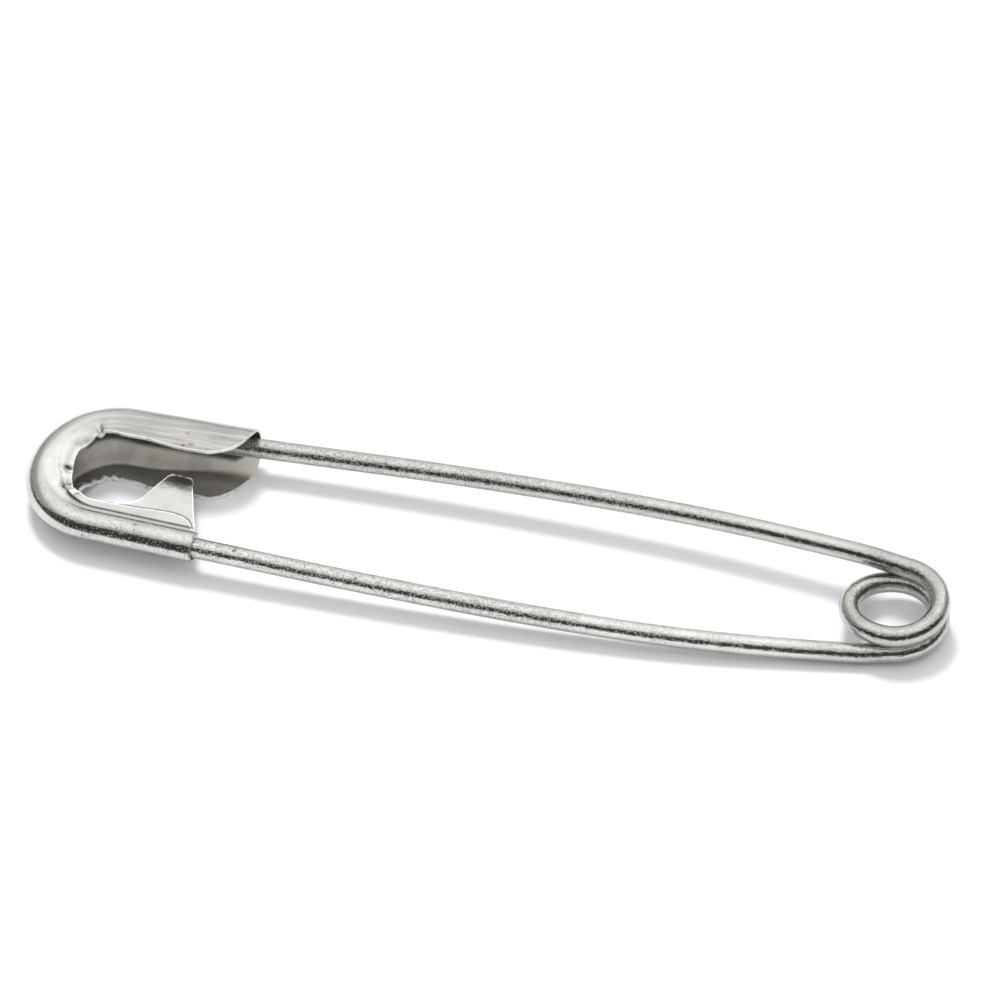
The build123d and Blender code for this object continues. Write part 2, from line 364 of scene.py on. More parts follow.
# %% [markdown]
# ## The free edges
# The sheet was cut to an outline before it was folded. That outline makes the window in the
# upper leaf, the slant of both leaves at the mouth, and the tongue that guards the point. A
# boolean cut would leave ragged faces on so thin a sheet. So each edge is a smooth curve through
# stops: how far along the cap, and how far in from its outer wall. The stops are places seen
# from above.


# %% Places seen from above
def on_straight(s0, points):
    """Places beside a straight run that starts at s0, as (distance along the cap, distance in
    from its outer wall): the place less the start, measured along the two ways."""
    start, inward, onward = (v[0] for v in cap_line(np.array([s0])))
    away = np.array(points) - start
    return list(zip(s0 + away @ onward, away @ inward))


def on_bend(points):
    """The same for places inside the round end: the angle gives the distance along, and what is
    left of the radius gives the distance in."""
    x, y = (np.array(points) - bend_middle).T
    angle = np.mod(np.arctan2(y, x), 2 * math.pi)
    return list(zip(bend_start + end_r * (angle - math.pi / 2), end_r - np.hypot(x, y)))


# %% The upper sheet's edge
upper_stops = [(0, 2.1)] + on_straight(0, [
    (-27.66, 5.92), (-28.59, 4.45), (-29.74, 3.65), (-31.23, 3.07), (-33.75, 3.05), (-35.95, 3.33),
    (-38.2, 3.62), (-40.4, 3.65),
]) + on_bend([
    (-42.3, 3.7), (-42.72, 3.45), (-43.0, 2.85), (-43.3, 2.85), (-43.65, 2.29), (-44.2, 1.77),
    (-44.85, 1.16), (-44.94, 0.54), (-44.87, -1.0), (-44.4, -2.7), (-44.15, -3.15), (-43.3, -3.5),
    (-42.39, -4.09),
]) + on_straight(bend_end, [
    (-40.65, -4.22), (-39.1, -4.27), (-36.85, -4.26), (-34.4, -4.15), (-32.97, -4.15),
    (-31.79, -4.36), (-30.96, -4.76), (-30.43, -5.33), (-30.1, -6.03), (-29.8, -6.6),
    (-29.4, -7.1), (-28.9, -7.4),
])
print(len(upper_stops), "stops on the upper edge")

# %% The lower sheet's edge, with the tongue
lower_stops = [(0, 2.0)] + on_straight(0, [
    (-27.8, 5.46), (-28.64, 3.92), (-29.91, 2.6), (-31.12, 2.0), (-32.6, 2.1), (-37.4, 2.09),
    (-39.2, 2.5),
]) + on_bend([
    (-41.29, 2.6), (-42.76, 2.16), (-43.24, 1.52), (-43.7, 0.4), (-43.9, -1.2), (-43.4, -3.0),
    (-42.63, -3.45),
]) + on_straight(bend_end, [
    (-40.9, -3.8), (-40.0, -3.78), (-38.78, -3.6), (-37.52, -3.18), (-36.9, -2.52),
    (-36.57, -1.82), (-36.21, -0.81), (-35.81, 0.1), (-35.41, 1.02), (-34.98, 1.9), (-34.7, 2.1),
    (-33.94, 2.12), (-32.8, 2.03), (-32.5, 1.75), (-32.14, 0.92), (-31.46, -0.95), (-30.6, -3.37),
    (-29.6, -6.0), (-29.4, -6.8), (-28.9, -7.3),
])
print(len(lower_stops), "stops on the lower edge")


# %% A smooth curve through stops
def through(stops, x):
    """A smooth curve through (place, value) stops. Each piece is a cubic. Its slope at a stop is
    the harmonic mean of the slopes either side, or none at a peak, so it never overshoots."""
    places, values = np.array(stops, float).T
    rise = np.diff(values) / np.diff(places)
    before, after = rise[:-1], rise[1:]
    same_way = before * after > 0
    middle = np.where(same_way, 2 * before * after / np.where(same_way, before + after, 1), 0)
    slopes = np.concatenate([rise[:1], middle, rise[-1:]])
    k = np.clip(np.searchsorted(places, x, side="right") - 1, 0, len(places) - 2)
    width = places[k + 1] - places[k]
    t = np.clip((x - places[k]) / width, 0, 1)
    start = (1 + 2 * t) * (1 - t) ** 2 * values[k] + t * (1 - t) ** 2 * width * slopes[k]
    end = t**2 * (3 - 2 * t) * values[k + 1] + t**2 * (t - 1) * width * slopes[k + 1]
    return start + end


wall_rows, bend_rows, sleeve_rows = 80, 205, 145
rows = np.concatenate([
    np.linspace(0, bend_start, wall_rows, endpoint=False),
    np.linspace(bend_start, bend_end, bend_rows, endpoint=False),
    np.linspace(bend_end, bend_end + sleeve_run, sleeve_rows),
])
upper_reach, lower_reach = through(upper_stops, rows), through(lower_stops, rows)
print("the sheet reaches in by", round(upper_reach.max(), 1), "and", round(lower_reach.max(), 1))

# %% [markdown]
# ## The grid of the sheet
# Between the pin's side and the sleeve's side the press squeezes the channel shut. That is done
# by mixing the two profiles, with a soft switch over the angle round the end. A plain even grid
# would blur the crease and the edges, so its columns are drawn together there.


# %% Soft switch, soft bump and the mixed profile
def ease(low, high, x):
    """0 below low, 1 above high, and a smooth S between them: 3t squared less 2t cubed."""
    t = np.clip((x - low) / (high - low), 0, 1)
    return t * t * (3 - 2 * t)


def bell(distance, width):
    """1 in the middle, falling off as e to the minus square of distance over width."""
    return np.exp(-((distance / width) ** 2))


place, inward, onward = cap_line(rows)
angle_round = 90 + np.degrees((rows - bend_start) / end_r)
closing_from, closing_to = 130, 267
closing = ease(closing_from, closing_to, angle_round)[:, None]
longest_walk, walk_steps = 16, 900
walk = np.linspace(0, longest_walk, walk_steps)
profiles = (1 - closing[:, :, None]) * channel(walk) + closing[:, :, None] * sleeve(walk)
print("profiles", profiles.shape, "as rows, steps round the sheet, and depth and height")


# %% One half of the sheet
# How strongly columns are drawn to the edge and to each line, and the edge bell's width in mm.
edge_pull, edge_width, line_pull, fine_steps = 1.6, 0.9, 4, 400


def half_sheet(reach, side, columns, lines):
    """From the outermost line to a free edge. side is 1 above and -1 below. The columns are
    closer together near the edge and near each line, which is a distance round the profile and
    a width: their density is 1 plus a bell at each."""
    edge = np.array([np.interp(r, p[:, 0], walk) for r, p in zip(reach, profiles)])
    fine = edge[:, None] * np.linspace(0, 1, fine_steps)
    density = 1 + edge_pull * bell(fine - edge[:, None], edge_width)
    for middle, width in lines:
        density = density + line_pull * closing * bell(fine - middle[:, None], width)
    count = np.cumsum(density, axis=1) - density[:, :1]
    even = np.linspace(0, 1, columns)
    a = np.array([np.interp(even * c[-1], c, f) for c, f in zip(count, fine)])
    depth = np.array([np.interp(x, walk, p[:, 0]) for x, p in zip(a, profiles)])
    height = np.array([np.interp(x, walk, p[:, 1]) for x, p in zip(a, profiles)])
    return depth, side * height, side * a


# The seam lies where the upper flange ends on the lower one, a little past its edge, and a
# painted shadow of that edge darkens it.
crease = np.full(len(rows), crease_walk)
crease_depth, seam_gap = 3.94, 0.42
seam = crease_walk + np.maximum(upper_reach - crease_depth, 0) + seam_gap
upper_lines, lower_lines = [(crease, 0.4)], [(crease, 0.3), (seam, 0.3)]
upper_columns, lower_columns = 44, 60
upper_depth, upper_height, upper_walk = half_sheet(upper_reach, 1, upper_columns, upper_lines)
lower_depth, lower_height, lower_walk = half_sheet(lower_reach, -1, lower_columns, lower_lines)
print("sheet grid", len(rows), "by", upper_walk.shape[1] + lower_walk.shape[1] - 1)

# %% [markdown]
# ## Crumples
# Where the press draws flat sheet round the end, the free edges have more metal than they need,
# so they buckle, and the upper rim rolls inwards. Noise would spread such marks everywhere. These
# are a few soft bumps in chosen places, which fade out away from the edge, as the real ones do.


# %% Crumples of the free edges
def ripples(features):
    """The sum of soft bumps round the end: each is (middle and half width in degrees, lift)."""
    return sum(lift * bell(angle_round - at, width) for at, width, lift in features)[:, None]


upper_crumple = ripples([
    (119, 3, 0.16), (127, 3, -0.26), (142, 9, 0.12), (160, 9, -0.08), (178, 9, 0.16),
    (199, 4.5, -0.3), (212, 5, 0.1), (221, 2.2, -0.12), (228, 2.2, 0.1), (235, 2.2, -0.08),
])
lower_crumple = ripples([
    (94, 3, 0.1), (103, 4, -0.05), (113, 4, 0.3), (122, 4, -0.05), (132, 5, 0.32),
    (146, 5, -0.1), (158, 6, 0.16), (172, 6, -0.1),
])
from_upper_edge = upper_reach[:, None] - upper_depth
from_lower_edge = lower_reach[:, None] - lower_depth
round_the_end = (ease(132, 158, angle_round) * (1 - ease(222, 250, angle_round)))[:, None]
rolled_in = 0.42 * round_the_end + ripples([(176, 13, 0.22)])
# How far in from its edge each of the three has faded out.
upper_fade, roll_fade, lower_fade = 2.4, 2.3, 1.1
upper_height += upper_crumple * (1 - ease(0, upper_fade, from_upper_edge))
upper_height -= rolled_in * (1 - ease(0, roll_fade, from_upper_edge)) ** 2
lower_height += lower_crumple * (1 - ease(0, lower_fade, from_lower_edge))
rim_moves = float(np.abs(upper_crumple - rolled_in).max())
print("the upper rim moves by up to", round(rim_moves, 2), "mm")

# %% The curled tip of the tongue
# The tip drops by tip_drop, more and less by tip_wave: the sine of the place times tip_waves.
x, y = place.T
tip_drop, tip_wave, tip_waves, tip_fade = 0.16, 0.08, 6.5, 0.45
at_tip = ease(-35.2, -34.7, x) * (1 - ease(-32.9, -32.5, x)) * (y < 0)
curl = (tip_wave * np.sin(x * tip_waves) - tip_drop) * at_tip
lower_height += curl[:, None] * (1 - ease(0.0, tip_fade, from_lower_edge))
print("the tongue's tip curls by up to", round(float(np.abs(curl).max()), 2), "mm")

# %% [markdown]
# ## Marks on the sheet
# The crease is darker, a painted shadow lies along the seam where the upper flange's edge shades
# the lower one, the plate is worn off the rims and a painted highlight brightens them, the slope
# by the crease is painted bright as a painted reflection, and the leaf is brushed along the fold.
# Such marks follow the fold, so no noise or coordinate in a material could place them. They
# could be painted by hand in Blender. Here each is a number from 0 to 1 for every grid point,
# worked out from the distances that made the grid, and the finish reads it as an attribute.

# %% Crease darkening, painted seam shadow, rust, brushing, wear and painted highlights
# Distances are in millimetres, from a free edge, from the mouth or round the profile.
leaving = 1 - closing
upper_a, lower_a = upper_walk, -lower_walk
# Darker along the crease line, and at the seam a painted shadow of the upper flange's edge.
dirt_up = 0.45 * closing * bell(upper_a - crease_walk, 0.11)
dirt_low = closing * bell(lower_a - seam[:, None], 0.12)
rust = 0.7 * (1 - ease(0.1, 0.25, (rows[-1] - rows)[:, None]))
brushed_up = leaving * ease(0.0, 2.0, upper_a) * (1 - 0.8 * ease(95, 150, angle_round)[:, None])
# Worn rims: bare pale steel, and also a painted highlight that brightens each rim.
worn_up = 1 - ease(0.05, 0.24, from_upper_edge)
worn_low = 1 - ease(0.14, 0.42, from_lower_edge)
# The slope by the crease is painted bright and less metallic, as a painted reflection.
slope_end = 1 - ease(crease_walk - 1.1, crease_walk - 0.4, upper_a)
slope_highlight_up = closing * ease(2.6, 3.5, upper_a) * slope_end
gripped_up, gripped_low = (
    closing * (1 - ease(crease_walk - 0.7, crease_walk, a)) for a in (upper_a, lower_a)
)
print("rust at the last", int((rust > 0).sum()), "rows of", len(rows))

# %% [markdown]
# ## Light inside the channel
# The inside of the cap mirrors itself: a pale band on the wall, a dark line under the upper
# leaf's edge, and a dark band on the lower leaf. Light that bounces many times in so narrow a
# place comes out too even, so these three are painted on the sheet too. The further the upper
# leaf reaches in past the nose, the further down the nose the dark line ends.

# %% Pale and dark bands
pale_from = (4.9 + 1.4 * ease(2, 12, rows))[:, None]
pale_blur = (0.25 + 0.75 * (1 - ease(0, 8, rows)))[:, None]
# The sine of the angle down the nose: 0.92 of the leaf's reach past the nose, over its radius.
sheet_t = 0.3
nose_covered = (0.92 * (upper_reach - sheet_t) - half_height) / half_height
nose_covered = np.clip(nose_covered, 0, 0.74)
past_cover = lower_a - (half_height * np.arcsin(nose_covered))[:, None]
past_band = (lower_a - pale_from) / pale_blur
pale_low = leaving * ease(0.25, 0.95, past_cover) * (1 - ease(-1, 1, past_band))
dark_band = 0.5 * ease(-1, 1, past_band) * (1 - ease(1.0, 2.8, lower_a - pale_from))
shaded_low = leaving * (1 - ease(0.2, 0.9, past_cover) + dark_band)
dark_run = float((lower_a - past_cover).max())
print("the dark line ends", round(dark_run, 2), "mm down the nose at most")

# %% [markdown]
# ## One sheet with a thickness
# The two halves are laid side by side and become one open surface, which is the outside of the
# sheet. Solidify gives it the sheet's thickness inwards, as even as on rolled metal, and puts the
# inside in a second material slot. Bevel rounds the cut rims, which catch a thin bright line.
# Weld joins the few points that the bevel leaves on top of each other, so the shell is closed.


# %% The cap's surface
def whole(up, low):
    """Both halves of the sheet side by side, from one free edge to the other. The outermost line
    is in both, and is kept once. A mark that is even across a half is spread over it."""
    up, low = np.broadcast_to(up, upper_walk.shape), np.broadcast_to(low, lower_walk.shape)
    return np.hstack([up[:, :0:-1], low])


# The sleeve leans: its upper side is pushed inwards and its lower side outwards, by height.
lean = 0.24
depth, height = whole(upper_depth, lower_depth), whole(upper_height, lower_height)
depth = depth + lean * closing * height * (1 - ease(4.0, 5.0, depth))
cap_points = np.dstack([place[:, None] + inward[:, None] * depth[:, :, None], cap_mid + height])
# In the channel the shaded mark covers the whole inside of the upper half: painted shade under the
# upper leaf.
cap = surface(
    "cap_shell", cap_points, rows, whole(upper_walk, lower_walk), dirt=whole(dirt_up, dirt_low),
    rust=whole(rust, rust), brushed=whole(brushed_up, 0), worn=whole(worn_up, worn_low),
    hollow=whole(leaving, leaving), gripped=whole(gripped_up, gripped_low),
    pale=whole(0, pale_low), shaded=whole(leaving, shaded_low), slope=whole(slope_highlight_up, 0),
)

# %% Thickness, rims and weld
rim_r, join_within = 0.11, 0.002
sheet = cap.modifiers.new("sheet thickness", "SOLIDIFY")
sheet.thickness = sheet_t * mm
sheet.offset = -1
sheet.use_even_offset = True
sheet.material_offset = 1
rim = cap.modifiers.new("rounded rim", "BEVEL")
rim.width = rim_r * mm
rim.segments = 2
rim.limit_method = "ANGLE"
rim.angle_limit = math.radians(50)
rim.harden_normals = True
weld = cap.modifiers.new("join points that meet", "WELD")
weld.merge_threshold = join_within * mm
print("sheet", sheet_t, "mm thick, rims rounded to", rim_r, "mm")

# %% [markdown]
# ## Shader arithmetic
# A finish is easier to read as sums than as a picture of nodes. One small class wraps a socket
# and turns Python operators into Math nodes. Another holds a node tree, with one method that
# makes any node, and a few short names for the nodes that this pin needs most.


# %% Socket arithmetic
class Value:
    """A socket that Python arithmetic can grow."""

    def __init__(self, graph, socket):
        self.graph, self.socket = graph, socket

    def math(self, operation, a, b=0.0):
        """One Math node on two values."""
        return self.graph.node("Math", {0: a, 1: b}, operation=operation)

    def __add__(self, other):
        return self.math("ADD", self, other)

    def __sub__(self, other):
        return self.math("SUBTRACT", self, other)

    def __rsub__(self, other):
        return self.math("SUBTRACT", other, self)

    def __mul__(self, other):
        return self.math("MULTIPLY", self, other)

    __radd__, __rmul__ = __add__, __mul__

    def at_least(self, other):
        """The larger of the two."""
        return self.math("MAXIMUM", self, other)

    def step(self, low, high):
        """0 at low and before it, 1 at high and past it, and a smooth S between them."""
        ends = {"Value": self, "From Min": low, "From Max": high}
        return self.graph.node("MapRange", ends, interpolation_type="SMOOTHSTEP")


# %% A node tree
class Graph:
    """A node tree, and the one method that adds a node to it."""

    def __init__(self, owner):
        owner.use_nodes = True
        self.tree = owner.node_tree
        self.tree.nodes.clear()

    def node(self, kind, sockets=(), out=0, **settings):
        """Make a node of a type, set its settings, then fill or link its sockets."""
        made = self.tree.nodes.new("ShaderNode" + kind)
        for name, value in settings.items():
            setattr(made, name, value)
        for name, value in dict(sockets).items():
            if isinstance(value, Value):
                self.tree.links.new(value.socket, made.inputs[name])
            else:
                made.inputs[name].default_value = value
        return Value(self, made.outputs[out] if made.outputs else None)

    def mix(self, factor, a, b):
        """Colour a where the factor is 0 and b where it is 1."""
        return self.node("Mix", {0: factor, 6: a, 7: b}, out=2, data_type="RGBA")

    def noise(self, vector, scale, detail=2.0):
        """Soft noise from 0 to 1, with scale waves to each unit of the vector."""
        return self.node("TexNoise", {"Vector": vector, "Scale": scale, "Detail": detail})

    def stretched(self, vector, factors):
        """The vector times three factors, one for each axis."""
        return self.node("VectorMath", {0: vector, 1: factors}, operation="MULTIPLY")

    def axis(self, vector, number):
        """One of the vector's three numbers."""
        return self.node("SeparateXYZ", {0: vector}, out=number)

    def facing(self, vector, way):
        """How far a direction points the given way: their dot product."""
        return self.node("VectorMath", {0: vector, 1: way}, out="Value", operation="DOT_PRODUCT")

    def away(self, vector, spot):
        """The distance from a place in millimetres."""
        spot = tuple(part * mm for part in spot)
        return self.node("VectorMath", {0: vector, 1: spot}, out="Value", operation="DISTANCE")


# %% [markdown]
# ## The plate
# Both pieces of the real pin are steel with a thin coat of nickel. It shows the same things on
# each: a cloudy bloom, a fine grain, small pits, and brown specks where it has let go. A picture
# of worn metal would show its seams on a tube, and one flat grey would look like plastic. Noise
# in the object's own space wraps any shape, at sizes of about 4, 0.5 and 0.2 mm. Draw marks read
# the UV map instead, so they run along the metal. The class keeps what has been worked out so
# far, and the functions after it each lay one more kind of wear over it.

# %% Colours of wear
pit_brown = (0.15, 0.14, 0.125)
dirt_black = (0.07, 0.065, 0.06)
smudge_grey = (0.10, 0.095, 0.085)
rust_light, rust_dark = (0.32, 0.20, 0.09), (0.10, 0.065, 0.035)
worn_bright = (0.93, 0.92, 0.90)
slope_highlight_bright = (0.80, 0.79, 0.76)
cloud_scale, grain_scale, fine_scale = 240.0, 2100.0, 4700.0
draw_marks = (1.3, 4.6, 1.0)


def tone(colour, share=1.0):
    """A colour times a share of itself, with the fourth number that a socket wants."""
    return tuple(part * share for part in colour) + (1,)


# %% A plate in the making
class Plate:
    """One nickel finish: body is its colour so far, rough its roughness, and relief the height
    that the bump reads. losses are what its metal look gives up where it is worn, and where a
    painted highlight, reflection or shade is laid on."""

    def __init__(self, name, colour):
        self.material = bpy.data.materials.new(name)
        self.graph = Graph(self.material)
        self.colour = colour
        self.here = self.graph.node("TexCoord", out="Object")
        self.flow = self.graph.node("UVMap", uv_map="millimetres")
        self.fine = self.graph.noise(self.here, fine_scale, 3.0)
        self.grain = self.graph.noise(self.here, grain_scale, 2.0)
        self.cloud = self.graph.noise(self.here, cloud_scale, 3.0)
        self.drawn = self.graph.noise(self.graph.stretched(self.flow, draw_marks), 1.0, 3.0)
        self.body = self.graph.mix(self.cloud.step(0.35, 0.7), tone(colour), tone(colour, 0.86))
        self.losses = []

    def mark(self, name):
        """A mark that the mesh carries, from 0 to 1."""
        return self.graph.node("Attribute", out="Fac", attribute_name=name)

    def darken(self, factor, share):
        """Lay a share of the plate's own colour over it, by a factor."""
        self.body = self.graph.mix(factor, self.body, tone(self.colour, share))

    def cover(self, factor, colour):
        """Lay another colour over it, by a factor."""
        self.body = self.graph.mix(factor, self.body, tone(colour))


# %% Wear by handling
def handle(plate, rubbed, roughness, pits, dents, rubbed_relief, pit_depth):
    """Pits are the peaks of the fine noise where the cloud allows them. They and a dark mottle
    follow rubbed, from 0 to 1. pits lowers the level that counts as a peak, and dents is the
    strength of the draw marks. Relief is the two finer noises, plus the draw marks, less the pits."""
    patchy = (plate.cloud + 0.12 * rubbed).step(0.38, 0.60)
    peaks = (plate.fine + 0.045 * rubbed).step(0.68 - pits, 0.74 - pits)
    plate.pit = peaks * patchy * (0.15 + 0.85 * rubbed)
    plate.darken(rubbed * (0.20 + plate.grain.step(0.30, 0.70) * 0.24), 0.55)
    plate.rough = roughness + plate.grain * 0.08 + plate.pit * 0.25 + plate.cloud * 0.05
    ground = (plate.fine * 0.4 + plate.grain * 0.6) * (1 + rubbed_relief * rubbed)
    plate.relief = ground + plate.drawn * dents - plate.pit * pit_depth


def ragged_spot(plate, spot, ragged):
    """The distance from a place, in metres, shifted by the grain by up to half of ragged either
    way. spot and ragged are in millimetres."""
    return plate.graph.away(plate.here, spot) + (plate.grain - 0.5) * (ragged * mm)


def speckle(plate, specks, rust=None, raggedness=2.2, solid=0.1):
    """Brown specks, each (place, radius) in millimetres. A speck is 0 at its radius and 1 inside
    its solid share. Returns where the plate has rusted: the most of all specks and of rust."""
    for spot, radius in specks:
        far = ragged_spot(plate, spot, radius * raggedness)
        near = far.step(radius * mm, radius * mm * solid)
        rust = near if rust is None else rust.at_least(near)
    return rust


# %% From a plate to a material
bump_strength, bump_height = 0.8, 0.03


def finish(plate, rust):
    """Lay the rust on, and link colour, metal, roughness and bump to the shader. The metal
    look is 1, less the rust and every loss, and never below 0."""
    graph = plate.graph
    stain = graph.mix(plate.fine.step(0.4, 0.6), tone(rust_light), tone(rust_dark))
    metal = 1.0 - rust * 0.6
    for loss in plate.losses:
        metal = metal - loss
    relief = {"Height": plate.relief, "Strength": bump_strength, "Distance": bump_height * mm}
    shader = graph.node("BsdfPrincipled", {
        "Base Color": graph.mix(rust * 0.95, plate.body, stain),
        "Metallic": metal.at_least(0.0),
        "Roughness": plate.rough + rust * 0.3,
        "Normal": graph.node("Bump", relief),
    })
    graph.node("OutputMaterial", {"Surface": shader})
    print(plate.material.name, "has", len(graph.tree.nodes), "nodes")
    return plate.material


# %% [markdown]
# ## The wire's finish
# Drawn wire is bright, with fine pits and short marks along it. Near the cap it is rubbed by
# fingers and cloth. Towards the coil, where hands don't reach, the plate has gone dull and
# speckled, and the sprung arm is a little darker than the back. These changes run along and
# across the pin, so they are soft steps on the object's own X and Y, in metres. A second UV map
# or painted marks would do as well, but they would have to be carried from tube to tube.


# %% Plated wire
def wire_finish():
    """The plate on all three tubes: rubbed fades towards the coil, and dull sets in there."""
    plate = Plate("plated_wire", (0.755, 0.748, 0.698))
    along, across = (plate.graph.axis(plate.here, number) for number in (0, 1))
    rubbed = 1 - 0.75 * along.step(0.0, 45 * mm)
    handle(plate, rubbed, 0.05, pits=0.08, dents=1.1, rubbed_relief=2.0, pit_depth=0.8)
    plate.darken(across.step(1 * mm, 6 * mm) * 0.45, 0.62)
    dull = along.step(34 * mm, 43 * mm)
    plate.darken(dull * (0.3 + 0.6 * plate.cloud), 0.56)
    plate.darken(dull * plate.fine.step(0.40, 0.60) * 0.2, 0.34)
    plate.rough = plate.rough + dull * 0.01
    plate.relief = plate.relief + (plate.fine * 0.8 + plate.grain * 0.9) * dull
    plate.cover(plate.pit * 0.22, pit_brown)
    return finish(plate, speckle(plate, [
        ((-24.2, -8.7, 4.1), 0.42), ((-28.9, -8.6, 4.2), 0.2), ((-16.5, -8.9, 4.0), 0.2),
        ((-10.9, -9.3, 3.45), 0.34), ((-3.3, 8.2, 4.4), 0.36), ((-12.6, 8.05, 4.25), 0.3),
    ]))


wire_plate = wire_finish()

# %% [markdown]
# ## The sheet's finish
# Rolled and folded sheet has softer marks, which run along the fold in streaks. The sleeve is
# pitted where it grips, the crease is darker, the seam has a painted shadow, the slope a painted
# reflection, and the rims are worn to pale steel with a painted highlight. All of these are marks
# that the mesh carries, so the finish only has to say what each of them looks like.


# %% Marks that both sides of the sheet share
def fold_marks(plate, worn_loss):
    """Streaks, crease darkening and the seam's painted shadow, the slope's painted reflection,
    and worn rims with a painted highlight, laid on in that order.
    """
    graph = plate.graph
    brushed, dirt, slope = plate.mark("brushed"), plate.mark("dirt"), plate.mark("slope")
    wide = graph.noise(graph.stretched(plate.flow, (0.09, 1.6, 1.0)), 1.0, 3.0)
    narrow = graph.noise(graph.stretched(plate.flow, (0.22, 7.5, 1.0)), 1.0, 2.0)
    streak = brushed * (wide.step(0.30, 0.70) * 0.62 + narrow.step(0.35, 0.65) * 0.3)
    worn = plate.mark("worn") * plate.grain.step(0.25, 0.5)
    plate.darken(streak, 0.50)
    # Darker along the crease, and a painted shadow along the seam.
    plate.cover(dirt * (0.45 + 0.6 * plate.grain), dirt_black)
    # The slope is painted bright, a painted reflection.
    plate.cover(slope * 0.7, slope_highlight_bright)
    # Worn rims are pale bare steel and also carry a painted highlight, less metallic so it shows.
    plate.cover(worn * 0.8, worn_bright)
    plate.rough = plate.rough + streak * 0.12 + brushed * 0.04 + dirt * 0.2 + worn * 0.25
    plate.relief = plate.relief + narrow * brushed * 0.5
    plate.losses += [worn * worn_loss, slope * 0.6]


def sheet_rust(plate, specks):
    """Rust along the sleeve's mouth, where the grain allows it, and the specks."""
    return speckle(plate, specks, plate.mark("rust") * plate.grain.step(0.3, 0.6))


# %% Plated sheet, outside
smudge_place = (-45.35, -1.9, 5.2)
smudge_r, smudge_core, smudge_ragged = 0.9, 0.2, 2.2


def sheet_finish():
    """The outside of the cap, with one dark smudge on the closed end."""
    plate = Plate("plated_sheet", (0.705, 0.695, 0.655))
    gripped = plate.mark("gripped")
    handle(plate, gripped, 0.09, pits=0.035, dents=0.5, rubbed_relief=-0.35, pit_depth=0.5)
    fold_marks(plate, worn_loss=0.5)
    plate.cover(plate.pit * 0.35, pit_brown)
    far = ragged_spot(plate, smudge_place, smudge_ragged)
    plate.cover(far.step(smudge_r * mm, smudge_core * mm) * 0.7, smudge_grey)
    return finish(plate, sheet_rust(plate, [
        ((-35.5, -7.95, 4.5), 0.38), ((-33.0, 3.75, 6.15), 0.42), ((-33.9, 3.55, 6.15), 0.36),
        ((-34.0, 5.45, 6.18), 0.4),
    ]))


sheet_plate = sheet_finish()

# %% [markdown]
# ## The inside of the cap
# Inside the channel the plate is painted duller, darker and warmer: painted shade, for plate that
# mostly mirrors other plate. It is the same finish with three more layers: this painted shade,
# and the bands that were painted above. The pale band is broken up by a stretched noise, as a
# soft reflection in rolled metal is.


# %% Plated sheet, inside
painted_shade_warm, inside_dark, inside_pale = (0.72, 0.69, 0.63), (0.17, 0.16, 0.15), (0.98, 0.94, 0.87)


def inside_finish():
    """The inside of the cap: painted warm shade, then the painted dark bands, then the painted
    pale band, each laid over the last.
    """
    plate = Plate("plated_sheet_inside", (0.75, 0.745, 0.71))
    hollow, gripped = plate.mark("hollow"), plate.mark("gripped")
    broken = plate.graph.noise(plate.graph.stretched(plate.flow, (0.32, 0.12, 1.0)), 1.0)
    pale = plate.mark("pale") * (0.84 + 0.16 * broken.step(0.4, 0.6))
    handle(plate, gripped, 0.09, pits=0.02, dents=0.3, rubbed_relief=-0.35, pit_depth=0.5)
    # Painted shade: the channel's inside is laid over with a darker, warmer tone.
    plate.cover(hollow, painted_shade_warm)
    plate.cover(plate.mark("shaded") * 0.85, inside_dark)
    plate.cover(pale, inside_pale)
    fold_marks(plate, worn_loss=0.8)
    plate.cover(plate.pit * 0.35, pit_brown)
    plate.rough = plate.rough + hollow * 0.08
    plate.losses += [hollow * 0.2, pale * 0.8]
    return finish(plate, sheet_rust(plate, [((-32.3, 0.6, 3.07), 0.2)]))


inside_plate = inside_finish()

# %% [markdown]
# ## Joining the frame
# Each piece takes its finish and stands for its node of the packed model, which is hidden. The
# fixed arm and the cap ride on the pin's back, and the pin arm on the sprung arm. The pieces could
# be parented by hand, but the frame already knows what moves. The coil winds up between the two
# bodies, but it is not blended here: it stays where it is, with its place baked into its points.

# %% Finishes
for piece in (pin_arm, coil, fixed_arm):
    piece.data.materials.append(wire_plate)
cap.data.materials.append(sheet_plate)
cap.data.materials.append(inside_plate)
print("the cap has", [material.name for material in cap.data.materials])

# %% Ride and replace
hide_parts("fixed_arm")
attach(fixed_arm, "pin_back")
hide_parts("pin_arm")
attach(pin_arm, "sprung_arm")
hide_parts("cap")
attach(cap, "pin_back")
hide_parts("coil")
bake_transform(coil)

# %% [markdown]
# ## Floor
# The pin lies on a plain pale sheet. The camera looks down so steeply that no horizon shows, so
# one large level square does, where a curved backdrop would need its own bend. It is matt and has
# no gloss, so that only soft shadows show on it.

# %% Floor
floor_reach = 1.5
floor_colour = (0.80, 0.812, 0.825)
corners = [(x * floor_reach, y * floor_reach, 0) for x, y in ((-1, -1), (1, -1), (1, 1), (-1, 1))]
floor_mesh = bpy.data.meshes.new("floor")
floor_mesh.from_pydata(corners, [], [(0, 1, 2, 3)])
floor = bpy.data.objects.new("floor", floor_mesh)
bpy.context.scene.collection.objects.link(floor)
floor_white = bpy.data.materials.new("floor_white")
graph = Graph(floor_white)
matt = {"Base Color": tone(floor_colour), "Roughness": 0.95, "Specular IOR Level": 0.0}
graph.node("OutputMaterial", {"Surface": graph.node("BsdfPrincipled", matt)})
floor_mesh.materials.append(floor_white)
print("floor", 2 * floor_reach, "m wide")

# %% [markdown]
# ## The room
# Bright metal shows the room more than itself. A photograph of a room could be wrapped round the
# scene, but a few soft steps on the direction looked in say the same and can be tuned: a pale
# ceiling, brighter overhead and round a window behind the pin, dimmer to both sides, and a dark
# band near the horizon, higher on the front side. That band draws the dark line along each wire.

